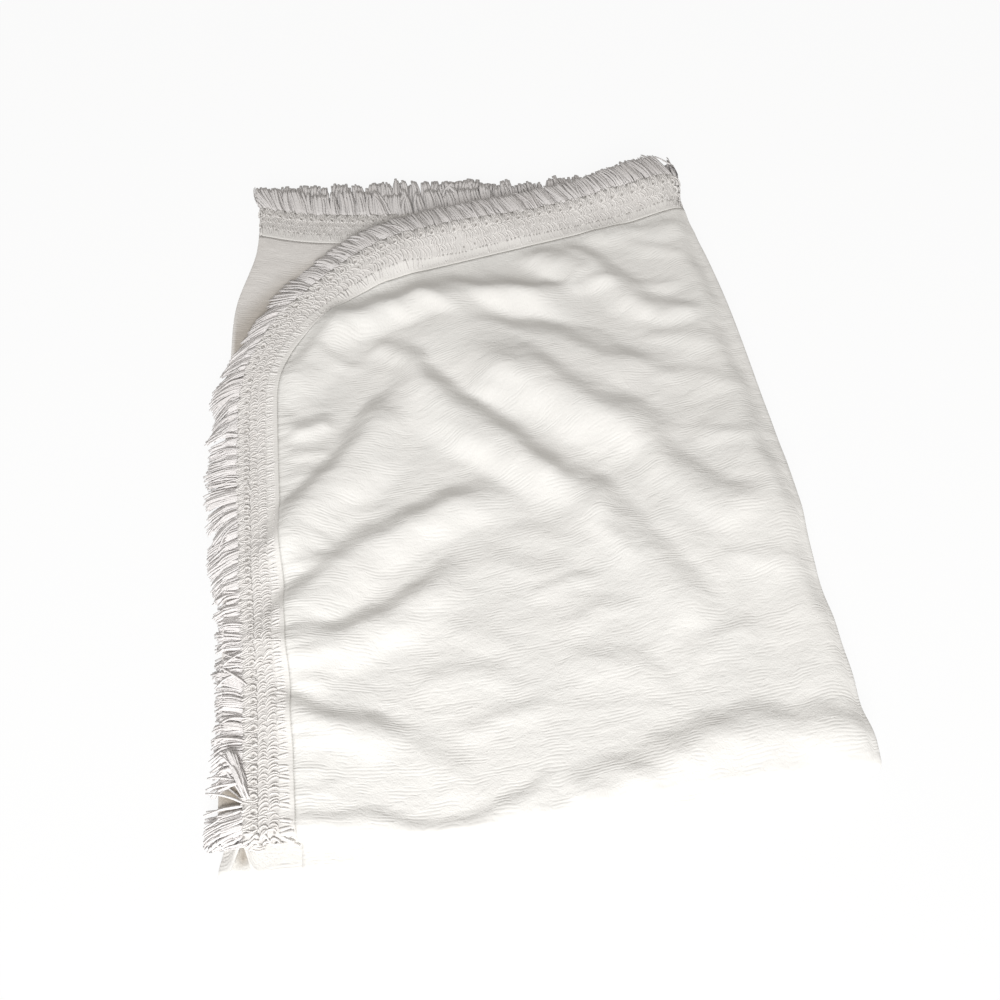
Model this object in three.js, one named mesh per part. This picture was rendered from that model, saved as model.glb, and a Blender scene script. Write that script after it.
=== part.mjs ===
// A woven bedspread with two rounded foot corners, folded in thirds across its width and then in
// thirds along its length, and laid on a flat surface. A braided heading and a cut fringe follow
// both sides and the foot edge. Millimetres: X runs across the packet, Y from the near fold to
// the foot edge, Z up.
import * as THREE from 'three';

// Cloth
const CLOTH = 1.8;             // thickness of the sheet, the heading and the fringe
const PITCH = 3.6;             // from the middle of one layer to the middle of the next
const SEAM_GAP = 0.3;          // between panel and heading, and between heading and fringe
const CORNER = 200;            // radius of the two foot corners
const HEADING = 60;            // width of the braided tape
const FRINGE = 48;             // longest tufts
const DRAWN_IN = 0.86;         // the heading and fringe at the left lie drawn up by this much
const TUFT = 22;               // half the spacing of the tufts
const TRIM_START = 28;         // the trim begins this far from the hem at the head

// Panels of the fold across, from the trimmed edge on top to the trimmed edge underneath
const TOP_WIDTH = 600;
const MIDDLE_WIDTH = 665;
const UNDER_WIDTH = 500;
const UNDER_EDGE = 135;        // where the cloth of the hidden side ends
const TURN_WIDTH = 12;         // cloth taken up by each side fold

// Runs of the fold along, from the hem underneath to the foot edge on top
const LOWER_RUN = 829;
const MIDDLE_RUN = 805;
const TOP_RUN = 800;
const FAR_FOLD = 805;          // where the lower two runs turn, hidden under the foot edge
const FOLD_ARC = 17;           // cloth taken up by each cross fold
const FOOT_AT_CUT = 691;       // where the foot edge lies at the cut edge of the top panel,
const FOOT_AT_RIGHT = 799;     // at the right fold,
const FOOT_AT_LEFT = 829;      // at the left fold
const FOOT_UNDER = 800;        // and at the hidden cut edge,
const FOOT_DIP = 12;           // with a dip of this much halfway over the middle panel
const MOUTH = 36;              // at the hem the left fold stands open over this width,
const MOUTH_RISE = 7;          // and lifts by this much

// Heights of the three panels in one run, and of the runs
const HIGH = 2 * PITCH + CLOTH / 2;
const MIDDLE = PITCH + CLOTH / 2;
const LOW = CLOTH / 2;
const RUN_HEIGHT = 3 * PITCH;
const FAR_AXIS = RUN_HEIGHT - (PITCH - CLOTH) / 2;
const NEAR_AXIS = 2 * FAR_AXIS + (PITCH - CLOTH) / 2;
const SAG = 0.9;               // the middle panel drops by this share of a pitch at the right,
const SHOULDER = 3;            // and lifts by this much at the left near the foot edge

// Side lines of the packet at stations from the near fold to the foot: the stitched edge of the
// top panel, the same edge in the lower runs, and the axes of the right and the left fold.
const SIDES = [
  { y: -30, cut: -282, lowerCut: -282, right: 293, left: -357 },
  { y: 150, cut: -286, lowerCut: -284, right: 299, left: -359 },
  { y: 300, cut: -295, lowerCut: -288, right: 306, left: -363 },
  { y: 450, cut: -301, lowerCut: -288, right: 312, left: -367 },
  { y: 600, cut: -301, lowerCut: -278, right: 312, left: -365 },
  { y: 700, cut: -301, lowerCut: -266, right: 306, left: -360 },
  { y: 800, cut: -301, lowerCut: -246, right: 295, left: -332 },
  { y: 950, cut: -301, lowerCut: -244, right: 295, left: -330 },
];

// The near side of the packet: the axis of the upper cross fold, and the hem that lies below it.
const NEAR_SIDE = [
  { x: -400, fold: 15, hem: -14 },
  { x: -280, fold: 14, hem: -23 },
  { x: -140, fold: -4, hem: -24 },
  { x: 40, fold: 4, hem: -20 },
  { x: 180, fold: 6, hem: -12 },
  { x: 320, fold: 3, hem: -4 },
];

// Ridges of the top panel. Each runs from x0,y0 to x1,y1 with its middle bowed to the left of
// that direction, falls gently over "near" on its right and steeply over "far" on its left.
const RIDGES = [
  { x0: -282, y0: 520, x1: -196, y1: 664, bow: 14, height: 12, near: 46, far: 30 },
  { x0: -252, y0: 626, x1: 104, y1: 632, bow: 40, height: 17, near: 44, far: 44 },
  { x0: -124, y0: 666, x1: 194, y1: 500, bow: -6, height: 14, near: 150, far: 42 },
  { x0: -48, y0: 564, x1: 176, y1: 400, bow: -6, height: 17, near: 64, far: 54 },
  { x0: -180, y0: 600, x1: -112, y1: 546, bow: 6, height: 6, near: 30, far: 26 },
  { x0: -148, y0: 564, x1: 42, y1: 358, bow: -8, height: 17, near: 54, far: 34 },
  { x0: 10, y0: 388, x1: 98, y1: 318, bow: 4, height: 8, near: 46, far: 30 },
  { x0: 62, y0: 344, x1: 162, y1: 160, bow: 4, height: 9, near: 70, far: 42 },
  { x0: 46, y0: 744, x1: 124, y1: 660, bow: 6, height: 11, near: 34, far: 30 },
  { x0: -40, y0: 672, x1: 120, y1: 650, bow: 6, height: 5, near: 30, far: 20 },
  { x0: 94, y0: 746, x1: 204, y1: 610, bow: 4, height: 11, near: 40, far: 34 },
  { x0: 186, y0: 622, x1: 268, y1: 590, bow: 0, height: 6, near: 26, far: 24 },
  { x0: -334, y0: 284, x1: -144, y1: 514, bow: -8, height: 17, near: 60, far: 36 },
  { x0: -322, y0: 184, x1: -30, y1: 354, bow: 40, height: 12, near: 50, far: 34 },
  { x0: -324, y0: 194, x1: -90, y1: 262, bow: -18, height: 10, near: 52, far: 26 },
  { x0: -88, y0: 266, x1: 30, y1: 244, bow: 4, height: 2, near: 30, far: 26 },
  { x0: -206, y0: 192, x1: -48, y1: 174, bow: 10, height: 2, near: 26, far: 20 },
  { x0: -318, y0: 144, x1: -180, y1: 84, bow: -2, height: 7, near: 34, far: 20 },
  { x0: -220, y0: 90, x1: -110, y1: 34, bow: 8, height: 3, near: 50, far: 28 },
  { x0: 144, y0: 396, x1: 256, y1: 288, bow: -14, height: 8, near: 46, far: 40 },
  { x0: -16, y0: 6, x1: 76, y1: 26, bow: 2, height: 5, near: 30, far: 28 },
  { x0: 48, y0: 24, x1: 312, y1: 30, bow: 16, height: 8, near: 46, far: 34 },
  { x0: -308, y0: 24, x1: -128, y1: -4, bow: 2, height: 3, near: 26, far: 9 },
  { x0: -152, y0: -4, x1: -30, y1: 22, bow: -6, height: 3, near: 26, far: 12 },
  { x0: -292, y0: 474, x1: -230, y1: 482, bow: 2, height: 4, near: 26, far: 18 },
  { x0: 130, y0: 262, x1: 350, y1: 330, bow: 0, height: 8, near: 120, far: 220 },
  { x0: -272, y0: 20, x1: -280, y1: 590, bow: 0, height: 7, near: 90, far: 72 },
  { x0: 276, y0: 1000, x1: 292, y1: -200, bow: -6, height: 8, near: 70, far: 28 },
  { x0: -330, y0: 470, x1: 60, y1: 800, bow: 118, height: 11, near: 60, far: 150 },
  { x0: -240, y0: 730, x1: 330, y1: 862, bow: 18, height: 12, near: 52, far: 110 },
  { x0: 150, y0: 848, x1: 360, y1: 872, bow: 0, height: 8, near: 50, far: 110 },
];

const IVORY = 0xf4f1ea;

// Flat marks, measured across from the cut edge of the top panel and along from the head hem
const ACROSS = marks([TOP_WIDTH, TURN_WIDTH, MIDDLE_WIDTH, TURN_WIDTH, UNDER_WIDTH]);
const ALONG = marks([LOWER_RUN, FOLD_ARC, MIDDLE_RUN, FOLD_ARC, TOP_RUN]);
const WIDTH = ACROSS[5];
const LENGTH = ALONG[5];

function marks(lengths) {
  const list = [0];
  for (const length of lengths) list.push(list.at(-1) + length);
  return list;
}

function lerp(a, b, share) {
  return a + (b - a) * share;
}

function smooth(from, to, value) {
  const share = Math.min(Math.max((value - from) / (to - from), 0), 1);
  return share * share * (3 - 2 * share);
}

// Smooth curve through one column of a table, read at a place in its first column.
function curve(table, column, place) {
  const key = Object.keys(table[0])[0];
  const last = table.length - 2;
  let i = 0;
  while (i < last && place > table[i + 1][key]) i += 1;
  const slope = (k) => {
    const before = table[Math.max(k - 1, 0)];
    const after = table[Math.min(k + 1, last + 1)];
    return (after[column] - before[column]) / (after[key] - before[key]);
  };
  const span = table[i + 1][key] - table[i][key];
  const share = Math.min(Math.max((place - table[i][key]) / span, 0), 1);
  const value = lerp(table[i][column], table[i + 1][column], share * share * (3 - 2 * share));
  const rise = share * (1 - share) * ((1 - share) * slope(i) - share * slope(i + 1));
  return value + rise * span;
}

// No crest runs quite straight: slow waves carry a place of the packet aside before it is read.
const WAVES = [
  { aside: 4, acrossByX: 0.021, acrossByY: 0.038, alongByX: 0.033, alongByY: -0.017 },
  { aside: 2, acrossByX: -0.055, acrossByY: 0.097, alongByX: 0.103, alongByY: 0.061 },
];

function astray(x, y) {
  let [across, along] = [x, y];
  for (const wave of WAVES) {
    across += wave.aside * Math.sin(wave.acrossByX * x + wave.acrossByY * y);
    along += wave.aside * Math.sin(wave.alongByX * x + wave.alongByY * y);
  }
  return [across, along];
}

// Height of the top panel's folds above its resting height.
function relief(atX, atY) {
  const [x, y] = astray(atX, atY);
  let height = 0;
  for (const ridge of RIDGES) {
    const dx = ridge.x1 - ridge.x0;
    const dy = ridge.y1 - ridge.y0;
    const length = Math.hypot(dx, dy);
    const share = ((x - ridge.x0) * dx + (y - ridge.y0) * dy) / (length * length);
    const inside = Math.min(Math.max(share, 0), 1);
    const offset = ((y - ridge.y0) * dx - (x - ridge.x0) * dy) / length;
    const side = offset - 4 * ridge.bow * inside * (1 - inside);
    const reach = side > 0 ? ridge.far : ridge.near;
    const fall = 0.5 + 0.5 * Math.cos(Math.PI * Math.min(Math.abs(side) / reach, 1));
    const ends = smooth(-0.08, 0.22, share) * smooth(1.08, 0.78, share);
    height += ridge.height * fall * ends;
  }
  return height;
}

// Where the foot edge of the cloth lies, for a flat distance across.
function footEdge(s) {
  if (s < ACROSS[1]) return lerp(FOOT_AT_CUT, FOOT_AT_RIGHT, s / TOP_WIDTH);
  if (s < ACROSS[2]) return FOOT_AT_RIGHT;
  if (s < ACROSS[3]) {
    const middle = (s - ACROSS[2]) / MIDDLE_WIDTH;
    return lerp(FOOT_AT_RIGHT, FOOT_AT_LEFT, middle ** 6) - FOOT_DIP * Math.sin(Math.PI * middle);
  }
  if (s < ACROSS[4]) return FOOT_AT_LEFT;
  return lerp(FOOT_AT_LEFT, FOOT_UNDER, (s - ACROSS[4]) / UNDER_WIDTH);
}

// Fold across: place and height in one run, for a flat distance across and an offset outwards.
function foldAcross(s, y, loft, offset) {
  const cut = curve(SIDES, loft < 1 ? 'lowerCut' : 'cut', y);
  const right = curve(SIDES, 'right', y);
  const left = curve(SIDES, 'left', y);
  const drop = SAG * PITCH;
  const shoulder = SHOULDER * smooth(700, 790, y) * loft;
  const mouth = MOUTH_RISE * smooth(8, -14, y);
  if (s <= ACROSS[1]) {
    const x = s < 0 ? cut + DRAWN_IN * s : lerp(cut, right, s / TOP_WIDTH);
    return { x, h: HIGH + relief(x, y) * loft + offset };
  }
  if (s < ACROSS[2]) {
    const angle = Math.PI * (s - ACROSS[1]) / TURN_WIDTH;
    const high = HIGH + relief(right, y) * loft;
    const low = MIDDLE - drop;
    const radius = (high - low) / 2 + offset;
    return { x: right + radius * Math.sin(angle), h: (high + low) / 2 + radius * Math.cos(angle) };
  }
  if (s <= ACROSS[3]) {
    const x = lerp(right, left, (s - ACROSS[2]) / MIDDLE_WIDTH);
    const sag = drop * smooth(right - 50, right - 6, x);
    const lift = shoulder * smooth(left + 60, left + 6, x) + mouth * smooth(left + MOUTH, left, x);
    return { x, h: MIDDLE - sag + lift - offset };
  }
  if (s < ACROSS[4]) {
    const angle = Math.PI * (s - ACROSS[3]) / TURN_WIDTH;
    const high = MIDDLE + shoulder + mouth;
    const radius = (high - LOW) / 2 - offset;
    return { x: left - radius * Math.sin(angle), h: (high + LOW) / 2 + radius * Math.cos(angle) };
  }
  const past = Math.max(s - WIDTH, 0);
  const share = Math.min((s - ACROSS[4]) / UNDER_WIDTH, 1);
  return { x: lerp(left, UNDER_EDGE, share) + past, h: LOW + offset };
}

// Fold along: the packet place of a flat point, with an offset out of the cloth.
function place(s, u, offset) {
  const nearX = foldAcross(s, 0, 0, 0).x;
  const nearFold = curve(NEAR_SIDE, 'fold', nearX);
  if (u <= ALONG[1]) {
    const y = lerp(curve(NEAR_SIDE, 'hem', nearX), FAR_FOLD, u / LOWER_RUN);
    const { x, h } = foldAcross(s, y, 0, offset);
    return new THREE.Vector3(x, y, h);
  }
  if (u < ALONG[2]) {
    const angle = Math.PI * (u - ALONG[1]) / FOLD_ARC;
    const { x, h } = foldAcross(s, FAR_FOLD, 0, offset);
    const radius = FAR_AXIS - h;
    const y = FAR_FOLD + radius * Math.sin(angle);
    return new THREE.Vector3(x, y, FAR_AXIS - radius * Math.cos(angle));
  }
  if (u <= ALONG[3]) {
    const y = lerp(FAR_FOLD, nearFold, (u - ALONG[2]) / MIDDLE_RUN);
    const { x, h } = foldAcross(s, y, 0, offset);
    return new THREE.Vector3(x, y, 2 * FAR_AXIS - h);
  }
  if (u < ALONG[4]) {
    const angle = Math.PI * (u - ALONG[3]) / FOLD_ARC;
    const { x, h } = foldAcross(s, nearFold, Math.sin(angle / 2) ** 2, offset);
    const radius = NEAR_AXIS - 2 * FAR_AXIS + h;
    const y = nearFold - radius * Math.sin(angle);
    return new THREE.Vector3(x, y, NEAR_AXIS - radius * Math.cos(angle));
  }
  const share = Math.min((u - ALONG[4]) / TOP_RUN, 1);
  const y = lerp(nearFold, footEdge(s), share) + Math.max(u - LENGTH, 0);
  const { x, h } = foldAcross(s, y, 1, offset);
  return new THREE.Vector3(x, y, 2 * NEAR_AXIS - 2 * FAR_AXIS + h);
}

function between({ from, to, share }, offset) {
  return place(...from, offset).lerp(place(...to, offset), share);
}

// A closed thin solid over a grid of points, each a share of the way between two flat points.
function sheet(name, lines) {
  const rows = lines.length;
  const columns = lines[0].length;
  const points = [];
  for (const side of [1, -1]) {
    for (const line of lines) {
      for (const point of line) points.push(...between(point, side * CLOTH / 2).toArray());
    }
  }
  const at = (i, j, under) => (under ? rows * columns : 0) + i * columns + j;
  const faces = [];
  const quad = (a, b, c, d) => faces.push(a, b, c, a, c, d);
  for (let i = 0; i + 1 < rows; i += 1) {
    for (let j = 0; j + 1 < columns; j += 1) {
      quad(at(i, j), at(i + 1, j), at(i + 1, j + 1), at(i, j + 1));
      quad(at(i, j, 1), at(i, j + 1, 1), at(i + 1, j + 1, 1), at(i + 1, j, 1));
    }
    quad(at(i, 0), at(i, 0, 1), at(i + 1, 0, 1), at(i + 1, 0));
    const j = columns - 1;
    quad(at(i, j), at(i + 1, j), at(i + 1, j, 1), at(i, j, 1));
  }
  for (let j = 0; j + 1 < columns; j += 1) {
    quad(at(0, j), at(0, j + 1), at(0, j + 1, 1), at(0, j, 1));
    const i = rows - 1;
    quad(at(i, j), at(i, j, 1), at(i, j + 1, 1), at(i, j + 1));
  }
  const geometry = new THREE.BufferGeometry();
  geometry.setAttribute('position', new THREE.Float32BufferAttribute(points, 3));
  geometry.setIndex(faces);
  geometry.computeVertexNormals();
  const material = new THREE.MeshStandardMaterial({ color: IVORY, roughness: 0.9, metalness: 0 });
  const mesh = new THREE.Mesh(geometry, material);
  mesh.name = name;
  return mesh;
}

// Flat positions of the grid lines: each stretch is split into equal steps.
function gridLines(stretches) {
  const list = [0];
  for (const { length, steps } of stretches) {
    const start = list.at(-1);
    for (let k = 1; k <= steps; k += 1) list.push(start + length * k / steps);
  }
  return list;
}

// Centre line of the rounded rectangle's corner arcs, nearest to a flat point.
function core([s, u]) {
  return [Math.min(Math.max(s, CORNER), WIDTH - CORNER), Math.min(u, LENGTH - CORNER)];
}

// Draws the square corners of the flat grid in to round ones.
function roundCorner([s, u]) {
  const [cs, cu] = core([s, u]);
  const a = (s - cs) / CORNER;
  const b = (u - cu) / CORNER;
  return [cs + CORNER * a * Math.sqrt(1 - b * b / 2), cu + CORNER * b * Math.sqrt(1 - a * a / 2)];
}

// Moves a point of the cut edge outwards to a given distance from it.
function outwards(point, distance) {
  const [cs, cu] = core(point);
  const ds = point[0] - cs;
  const du = point[1] - cu;
  const stretch = (CORNER + distance) / Math.hypot(ds, du);
  return [cs + ds * stretch, cu + du * stretch];
}

const acrossLines = gridLines([
  { length: CORNER, steps: 5 },
  { length: TOP_WIDTH - CORNER, steps: 12 },
  { length: TURN_WIDTH, steps: 4 },
  { length: MIDDLE_WIDTH - MOUTH, steps: 6 },
  { length: MOUTH, steps: 2 },
  { length: TURN_WIDTH, steps: 4 },
  { length: UNDER_WIDTH - CORNER, steps: 2 },
  { length: CORNER, steps: 3 },
]);
const alongLines = gridLines([
  { length: TRIM_START, steps: 1 },
  { length: LOWER_RUN - TRIM_START, steps: 5 },
  { length: FOLD_ARC, steps: 4 },
  { length: MIDDLE_RUN, steps: 5 },
  { length: FOLD_ARC, steps: 4 },
  { length: TOP_RUN - CORNER, steps: 16 },
  { length: CORNER, steps: 5 },
]);

const cloth = acrossLines.map((s) => alongLines.map((u) => roundCorner([s, u])));

// The trimmed edge, from near the hem up the top side, along the foot and down the hidden side.
const cutEdge = [
  ...cloth[0].slice(1),
  ...cloth.slice(1, -1).map((line) => line.at(-1)),
  ...cloth.at(-1).slice(1).toReversed(),
];

// A flat point as the start of a straight way.
function still(point) {
  return { from: point, to: point, share: 0 };
}

// Points along the cut edge, close enough for the tufts.
function tuftPoints() {
  const list = [];
  for (let k = 0; k + 1 < cutEdge.length; k += 1) {
    const [from, to] = [cutEdge[k], cutEdge[k + 1]];
    const steps = Math.max(1, Math.round(Math.hypot(to[0] - from[0], to[1] - from[1]) / TUFT));
    for (let n = 0; n < steps; n += 1) list.push({ from, to, share: n / steps });
  }
  list.push(still(cutEdge.at(-1)));
  return list;
}

// Tufts alternate long and short, and no two are quite alike.
function tuftLength(k) {
  const uneven = 1 + 0.1 * Math.sin(2.4 * k) + 0.06 * Math.sin(0.37 * k);
  return FRINGE * uneven * (k % 2 ? 0.86 : 0.64);
}

// A line of points beside the cut edge, each at its own distance out from it.
function ring(points, distance) {
  return points.map(({ from, to, share }, k) => (
    { from: outwards(from, distance(k)), to: outwards(to, distance(k)), share }));
}

const tufts = tuftPoints();
const seam = cutEdge.map(still);
const bedspread = new THREE.Group();
bedspread.add(sheet('panel', cloth.map((line) => line.map(still))));
bedspread.add(sheet('heading', [
  ring(seam, () => SEAM_GAP + HEADING),
  ring(seam, () => SEAM_GAP),
]));
bedspread.add(sheet('fringe', [
  ring(tufts, (k) => 2 * SEAM_GAP + HEADING + tuftLength(k)),
  ring(tufts, () => 2 * SEAM_GAP + HEADING),
]));

// The origin is at the middle of the packet's footprint, on the surface it lies on.
const middle = new THREE.Box3().setFromObject(bedspread).getCenter(new THREE.Vector3());
bedspread.position.set(-middle.x, -middle.y, 0);

export default bedspread;
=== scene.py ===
import math

import bmesh
import bpy
import numpy as np
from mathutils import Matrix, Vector


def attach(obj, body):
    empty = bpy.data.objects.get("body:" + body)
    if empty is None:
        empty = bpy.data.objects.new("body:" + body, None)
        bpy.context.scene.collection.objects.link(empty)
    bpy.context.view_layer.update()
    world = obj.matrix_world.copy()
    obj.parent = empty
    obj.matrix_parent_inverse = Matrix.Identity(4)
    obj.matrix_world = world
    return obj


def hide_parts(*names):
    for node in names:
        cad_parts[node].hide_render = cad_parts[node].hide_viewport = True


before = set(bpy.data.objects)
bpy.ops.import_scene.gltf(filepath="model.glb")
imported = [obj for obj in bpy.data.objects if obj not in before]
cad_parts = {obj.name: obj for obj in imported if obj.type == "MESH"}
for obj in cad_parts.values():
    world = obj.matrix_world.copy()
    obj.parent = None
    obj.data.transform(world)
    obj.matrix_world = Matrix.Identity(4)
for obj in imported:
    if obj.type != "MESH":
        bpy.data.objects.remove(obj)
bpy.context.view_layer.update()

bpy.ops.object.select_all(action="DESELECT")

# ---------------------------------------------------------------- sizes, in metres
CLOTH = 0.0018              # thickness of the sheet and of the tape
PITCH = 0.0036              # from the middle of one layer to the middle of the next
SEAM_GAP = 0.0003
CORNER = 0.200              # radius of the two foot corners
HEADING = 0.060             # width of the braided tape
DRAWN_IN = 0.86             # the trim at the left lies drawn up by this much
TRIM_START = 0.028          # the trim begins this far from the hem at the head
REPEAT = 0.0163             # one repeat of the braid
EYELETS = 0.0471            # row of eyelets, from the seam
ROOT_EYELETS = 0.0588       # row of gaps where the strands leave the tape
LOOP_EYES, STRIP_EYES = 0.0362, 0.0238      # the two columns of arcs close around these rows
OUTER_ARC = 0.0364, 0.0112, 0.0046          # middle from the seam, width, reach along the tape
INNER_ARC = 0.0240, 0.0122, 0.0040
SPANNING_ARC = 0.031                        # middle of the few wide arcs over both columns
SLANT_START, SLANT_END = 0.0018, 0.0186     # ends of the slanting threads, from the seam
CROSS_START = 0.0424                        # the cross threads run from here to the outer edge
RING_OUT, RING_ALONG = 0.0042, 0.0040       # reach of the ring at each eyelet
ROOT = 0.0050               # the strands start this far inside the tape's outer edge
LOCK_WIDTH = 0.0160         # of the fringe, varied from half to nearly twice
SIDE_SAG, USUAL_SAG = 0.008, 0.0015         # drop of the tips where nothing holds them up
STRAY_RISE, BUNDLE_RISE = 0.0022, 0.0035    # lift of stray strands, and of the one thick lock
TRIM_REACH = 0.092              # reach of the upper layer's trim over the cloth of the next; the painted shade fades beyond it
PAINTED_SHADE_DEPTH, PAINTED_SHADE_FADE = 0.65, 0.042       # painted shade beside that trim: its deepest share, and how far it fades
NOTCH = -0.341              # the hem stands open here at the near fold
NOTCH_HALF, NOTCH_DEPTH, NOTCH_FADE = 0.0070, 0.028, 0.075
POCKET_Y, POCKET_X_REACH, POCKET_Y_REACH = 0.052, 0.030, 0.015     # painted shade in the fringe's pocket
FAR_HALF = 0.4              # the painted shade beside the upper trim starts beyond here
HEM_BAND = 0.048            # finer rows of the grid beyond the start of the trim

# Panels of the fold across, runs of the fold along
TOP_WIDTH, MIDDLE_WIDTH, UNDER_WIDTH, TURN_WIDTH = 0.600, 0.665, 0.500, 0.012
LOWER_RUN, MIDDLE_RUN, TOP_RUN, FOLD_ARC = 0.829, 0.805, 0.800, 0.017
UNDER_EDGE = 0.135
FAR_FOLD = 0.805
MOUTH, MOUTH_RISE = 0.036, 0.007
FOOT_AT_CUT, FOOT_AT_RIGHT, FOOT_AT_LEFT, FOOT_UNDER = 0.691, 0.799, 0.829, 0.800
SAG, SHOULDER, FOOT_DIP = 0.9, 0.003, 0.012

HIGH = 2 * PITCH + CLOTH / 2
MIDDLE = PITCH + CLOTH / 2
LOW = CLOTH / 2
RUN_HEIGHT = 3 * PITCH
FAR_AXIS = RUN_HEIGHT - (PITCH - CLOTH) / 2
NEAR_AXIS = 2 * FAR_AXIS + (PITCH - CLOTH) / 2
TOP_LEVEL = 2 * NEAR_AXIS - 2 * FAR_AXIS + HIGH

ACROSS = np.cumsum([0, TOP_WIDTH, TURN_WIDTH, MIDDLE_WIDTH, TURN_WIDTH, UNDER_WIDTH])
ALONG = np.cumsum([0, LOWER_RUN, FOLD_ARC, MIDDLE_RUN, FOLD_ARC, TOP_RUN])
WIDTH, LENGTH = ACROSS[5], ALONG[5]

# The packet's own origin is near the middle of its near fold.
ORIGIN = np.array([0.037564, -0.454234, 0.0])

# y, cut edge on top, cut edge in the lower runs, right fold, left fold (mm)
SIDES = np.array([
    (-30, -282, -282, 293, -357),
    (150, -286, -284, 299, -359),
    (300, -295, -288, 306, -363),
    (450, -301, -288, 312, -367),
    (600, -301, -278, 312, -365),
    (700, -301, -266, 306, -360),
    (800, -301, -246, 295, -332),
    (950, -301, -244, 295, -330),
]) / 1000
CUT, LOWER_CUT, RIGHT, LEFT = 1, 2, 3, 4

# x, axis of the upper cross fold, hem below it (mm)
NEAR_SIDE = np.array([
    (-400, 15, -14),
    (-280, 14, -23),
    (-140, -4, -24),
    (40, 4, -20),
    (180, 6, -12),
    (320, 3, -4),
]) / 1000
FOLD, HEM = 1, 2

# Ridges of the top panel (mm): ends x0 y0 x1 y1, bow to the left, height,
# reach of the gentle right flank and of the steep left flank.
RIDGES = np.array([
    (-282, 520, -196, 664, 14, 12, 46, 30),
    (-252, 626, 104, 632, 40, 17, 44, 44),
    (-124, 666, 194, 500, -6, 14, 150, 42),
    (-48, 564, 176, 400, -6, 17, 64, 54),
    (-180, 600, -112, 546, 6, 6, 30, 26),
    (-148, 564, 42, 358, -8, 17, 54, 34),
    (10, 388, 98, 318, 4, 8, 46, 30),
    (62, 344, 162, 160, 4, 9, 70, 42),
    (46, 744, 124, 660, 6, 11, 34, 30),
    (-40, 672, 120, 650, 6, 5, 30, 20),
    (94, 746, 204, 610, 4, 11, 40, 34),
    (186, 622, 268, 590, 0, 6, 26, 24),
    (-334, 284, -144, 514, -8, 17, 60, 36),
    (-322, 184, -30, 354, 40, 12, 50, 34),
    (-324, 194, -90, 262, -18, 10, 52, 26),
    (-88, 266, 30, 244, 4, 2, 30, 26),
    (-206, 192, -48, 174, 10, 2, 26, 20),
    (-318, 144, -180, 84, -2, 7, 34, 20),
    (-220, 90, -110, 34, 8, 3, 50, 28),
    (144, 396, 256, 288, -14, 8, 46, 40),
    (-16, 6, 76, 26, 2, 5, 30, 28),
    (48, 24, 312, 30, 16, 8, 46, 34),
    (-308, 24, -128, -4, 2, 3, 26, 9),
    (-152, -4, -30, 22, -6, 3, 26, 12),
    (-292, 474, -230, 482, 2, 4, 26, 18),
    (130, 262, 350, 330, 0, 8, 120, 220),
    (-272, 20, -280, 590, 0, 7, 90, 72),
    (276, 1000, 292, -200, -6, 8, 70, 28),
    (-330, 470, 60, 800, 118, 11, 60, 150),
    (-240, 730, 330, 862, 18, 12, 52, 110),
    (150, 848, 360, 872, 0, 8, 50, 110),
]) / 1000

# Small puckers and pressed creases, in the same columns
PUCKERS = np.array([
    (18, 358, 234, 422, 6, 0.7, 14, 6),
    (72, 428, 218, 482, 1, 0.6, 14, 6),
    (-290, 470, -228, 476, 3, 2.0, 14, 10),
    (-290, 438, -240, 436, 2, 2.2, 16, 12),
    (-292, 408, -252, 402, 0, 1.8, 14, 12),
    (-290, 318, -236, 312, 2, 1.8, 16, 12),
    (-290, 286, -250, 290, 0, 1.8, 12, 10),
    (-288, 182, -226, 188, 2, 2.0, 14, 12),
    (-288, 160, -240, 154, 2, 2.2, 16, 12),
    (-288, 100, -246, 94, 0, 1.3, 14, 12),
    (-288, 72, -250, 66, 0, 1.3, 14, 12),
    (-288, 48, -240, 44, 0, 1.3, 14, 12),
    (-262, 604, -196, 566, -6, 2.4, 22, 14),
    (-232, 640, -190, 618, 0, 2.0, 16, 12),
    (-150, 668, -120, 630, 0, 2.0, 18, 12),
    (-120, 676, -70, 640, 0, 2.0, 18, 12),
    (-20, 716, 22, 684, 0, 1.8, 18, 12),
    (110, 656, 164, 672, 2, 3.6, 18, 16),
    (140, 758, 300, 758, 4, 4.4, 30, 24),
    (196, 742, 276, 700, 6, 2.4, 24, 16),
    (60, 590, 150, 560, 6, 2.6, 26, 16),
    (176, 660, 252, 650, 4, 2.0, 20, 14),
    (190, 566, 280, 540, 4, 2.8, 26, 20),
    (180, 500, 286, 470, 4, 2.6, 30, 20),
    (-120, 470, -40, 400, 6, 2.4, 30, 20),
    (-40, 300, 60, 262, 10, 1.8, 30, 20),
    (-24, 224, 60, 230, 4, 2.2, 20, 14),
    (10, 176, 96, 196, 4, 2.0, 22, 16),
    (-240, 330, -170, 352, 4, 2.0, 22, 16),
    (-150, 130, -60, 140, 8, 2.4, 30, 22),
    (0, 130, 110, 118, 10, 2.4, 34, 22),
    (120, 120, 220, 150, 8, 2.2, 30, 22),
    (196, 236, 286, 214, 6, 2.2, 26, 18),
    (-120, 84, -20, 96, 4, 2.0, 22, 16),
    (60, 500, 20, 560, 6, 2.0, 26, 18),
    (214, 404, 292, 392, 4, 2.2, 20, 14),
    (-60, 520, 0, 470, 4, 2.0, 24, 16),
    (60, 300, 100, 250, 4, 2.0, 26, 16),
]) / 1000


# ---------------------------------------------------------------- the fold
def smooth(start, end, value):
    share = np.clip((value - start) / (end - start), 0, 1)
    return share * share * (3 - 2 * share)


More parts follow.
